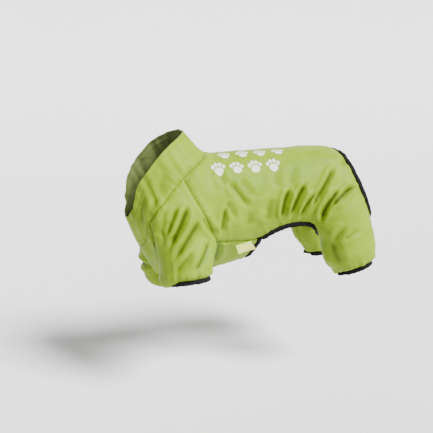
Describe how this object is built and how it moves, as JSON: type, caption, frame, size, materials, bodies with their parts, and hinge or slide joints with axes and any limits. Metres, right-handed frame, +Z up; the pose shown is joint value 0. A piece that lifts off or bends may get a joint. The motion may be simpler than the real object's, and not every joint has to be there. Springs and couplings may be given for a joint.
{
  "type": "pet jumpsuit",
  "caption": "Worn four-legged pet jumpsuit with a stand collar, open seat and belly, and dark edge binding.",
  "frame": {"origin": "on the inside of the back panel, at the middle of the wearer's back, where the worn garment hangs", "axes": "+X towards the tail, +Y towards the garment's right side, +Z up"},
  "size_m": [0.3342, 0.1719, 0.2263],
  "materials": {
    "shell_cloth": "smooth, slightly glossy lightly padded woven shell",
    "binding_tape": "matt dark elastic tape",
    "tab_cloth": "pale smooth ribbon"
  },
  "bodies": {
    "root": {"saddle_panel": "shell_cloth", "belly_panel": "shell_cloth", "sleeve_left": "shell_cloth", "sleeve_right": "shell_cloth", "inner_leg_left": "shell_cloth", "inner_leg_right": "shell_cloth", "collar": "shell_cloth", "side_tab": "tab_cloth", "opening_binding": "binding_tape", "cuff_binding_front_left": "binding_tape", "cuff_binding_hind_left": "binding_tape", "cuff_binding_front_right": "binding_tape", "cuff_binding_hind_right": "binding_tape"}
  },
  "joints": []
}
